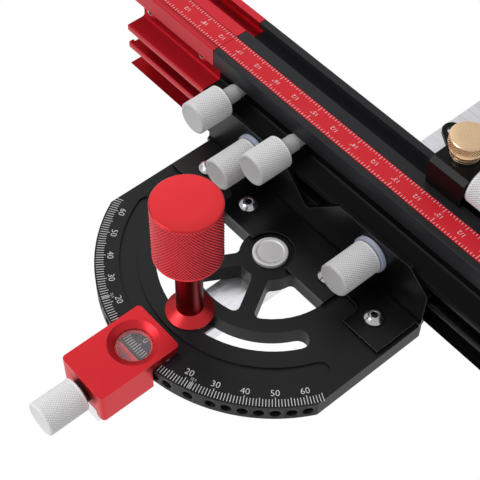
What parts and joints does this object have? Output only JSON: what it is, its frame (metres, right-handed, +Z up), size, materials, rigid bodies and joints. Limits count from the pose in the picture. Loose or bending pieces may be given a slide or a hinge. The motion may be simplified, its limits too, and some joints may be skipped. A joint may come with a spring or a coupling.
{
  "type": "miter gauge",
  "caption": "Miter gauge: a sliding bar with a pivoting protractor head, an index plunger, and a slotted fence with a sliding extension and a flip stop.",
  "frame": {"origin": "on the underside of the miter bar, directly below the head's pivot", "axes": "+Z up; +Y along the bar from the plunger to the fence and beyond; +X along the fence towards its long end"},
  "size_m": [0.5613, 0.4795, 0.0957],
  "materials": {
    "bar_steel": "fine lengthwise grind, bright",
    "bright_steel": "bright plated",
    "silver_aluminium": "turned and knurled, clear anodised",
    "black_anodised": "black anodised, satin",
    "red_anodised": "red anodised, satin",
    "ruler_red": "red strip with engraved inch scale",
    "brass": "turned, knurled edge",
    "pale_washer": "zinc plated, pale blue tint",
    "lens_glass": "clear"
  },
  "bodies": {
    "bar": {"miter_bar": "bar_steel", "pointer_block": "red_anodised", "lens": "lens_glass", "plunger_bushing": "black_anodised", "plunger_spring": "bright_steel", "block_screw_left": "bright_steel", "block_screw_right": "bright_steel", "pivot_bolt": "silver_aluminium", "clamp_stud": "bright_steel"},
    "head": {"protractor_plate": "black_anodised", "fence_bracket": "black_anodised", "bracket_screw_1": "bright_steel", "bracket_screw_2": "bright_steel", "bracket_screw_3": "bright_steel", "bracket_screw_4": "bright_steel"},
    "clamp_knob": {"clamp_knob": "red_anodised"},
    "plunger": {"plunger_knob": "silver_aluminium", "plunger_pin": "bright_steel"},
    "fence_clamp": {"t_bolt_left": "bright_steel", "t_bolt_right": "bright_steel", "fence_washer_left": "pale_washer", "fence_washer_right": "pale_washer"},
    "fence_knob_left": {"fence_knob_left": "silver_aluminium"},
    "fence_knob_right": {"fence_knob_right": "silver_aluminium"},
    "fence": {"fence_rail": "black_anodised", "ruler_strip": "ruler_red"},
    "extension_knob_left": {"extension_knob_left": "silver_aluminium"},
    "extension_knob_right": {"extension_knob_right": "silver_aluminium"},
    "extension": {"extension_rail": "red_anodised", "extension_ruler": "ruler_red", "slide_bar": "silver_aluminium", "extension_screw_left": "bright_steel", "extension_screw_right": "bright_steel"},
    "stop": {"stop_block": "black_anodised", "stop_slider": "bright_steel", "stop_washer": "silver_aluminium"},
    "stop_lock_knob": {"stop_lock_knob": "brass"},
    "micro_wheel": {"micro_adjust_wheel": "silver_aluminium"},
    "stop_carriage": {"stop_carriage": "black_anodised", "carriage_slider": "bright_steel", "arm_pin": "bright_steel"},
    "stop_arm": {"stop_arm": "black_anodised"}
  },
  "joints": [
    {"name": "miter_angle", "type": "hinge", "parent": "bar", "child": "head", "pos_m": [0, 0, 0.0188], "axis": [0, 0, 1], "range_deg": [-60, 60]},
    {"name": "clamp_turn", "type": "hinge", "parent": "bar", "child": "clamp_knob", "pos_m": [0, -0.0475, 0.0188], "axis": [0, 0, 1], "range_deg": [0, 360]},
    {"name": "index_plunger", "type": "slide", "parent": "bar", "child": "plunger", "axis": [0, 1, 0], "range_m": [0, 0.0019]},
    {"name": "fence_height", "type": "slide", "parent": "head", "child": "fence_clamp", "axis": [0, 0, 1], "range_m": [0, 0.005]},
    {"name": "fence_knob_left_turn", "type": "hinge", "parent": "fence_clamp", "child": "fence_knob_left", "pos_m": [-0.039, 0.011, 0.0391], "axis": [0, 1, 0], "range_deg": [0, 360]},
    {"name": "fence_knob_right_turn", "type": "hinge", "parent": "fence_clamp", "child": "fence_knob_right", "pos_m": [0.039, 0.011, 0.0391], "axis": [0, 1, 0], "range_deg": [0, 360]},
    {"name": "fence_slide", "type": "slide", "parent": "fence_clamp", "child": "fence", "axis": [1, 0, 0], "range_m": [-0.0088, 0.0138]},
    {"name": "extension_knob_left_turn", "type": "hinge", "parent": "fence", "child": "extension_knob_left", "pos_m": [-0.062, 0.015, 0.0544], "axis": [0, 1, 0], "range_deg": [0, 360]},
    {"name": "extension_knob_right_turn", "type": "hinge", "parent": "fence", "child": "extension_knob_right", "pos_m": [-0.0212, 0.015, 0.0544], "axis": [0, 1, 0], "range_deg": [0, 360]},
    {"name": "extension_slide", "type": "slide", "parent": "fence", "child": "extension", "axis": [-1, 0, 0], "range_m": [0, 0.15]},
    {"name": "stop_slide", "type": "slide", "parent": "fence", "child": "stop", "axis": [1, 0, 0], "range_m": [-0.1, 0.25]},
    {"name": "stop_lock_turn", "type": "hinge", "parent": "stop", "child": "stop_lock_knob", "pos_m": [0.0485, 0.0624, 0.09], "axis": [0, 0, 1], "range_deg": [0, 360]},
    {"name": "micro_adjust_turn", "type": "hinge", "parent": "stop", "child": "micro_wheel", "pos_m": [0.0681, 0.06, 0.0783], "axis": [1, 0, 0], "range_deg": [-360, 360]},
    {"name": "micro_adjust_slide", "type": "slide", "parent": "stop", "child": "stop_carriage", "axis": [1, 0, 0], "range_m": [-0.0008, 0.0008]},
    {"name": "stop_arm_flip", "type": "hinge", "parent": "stop_carriage", "child": "stop_arm", "pos_m": [0.0985, 0.0721, 0.0762], "axis": [1, 0, 0], "range_deg": [0, 150]}
  ],
  "couplings": [
    {"joint": "micro_adjust_turn", "follows": "micro_adjust_slide", "rad_per_m": 7854}
  ]
}
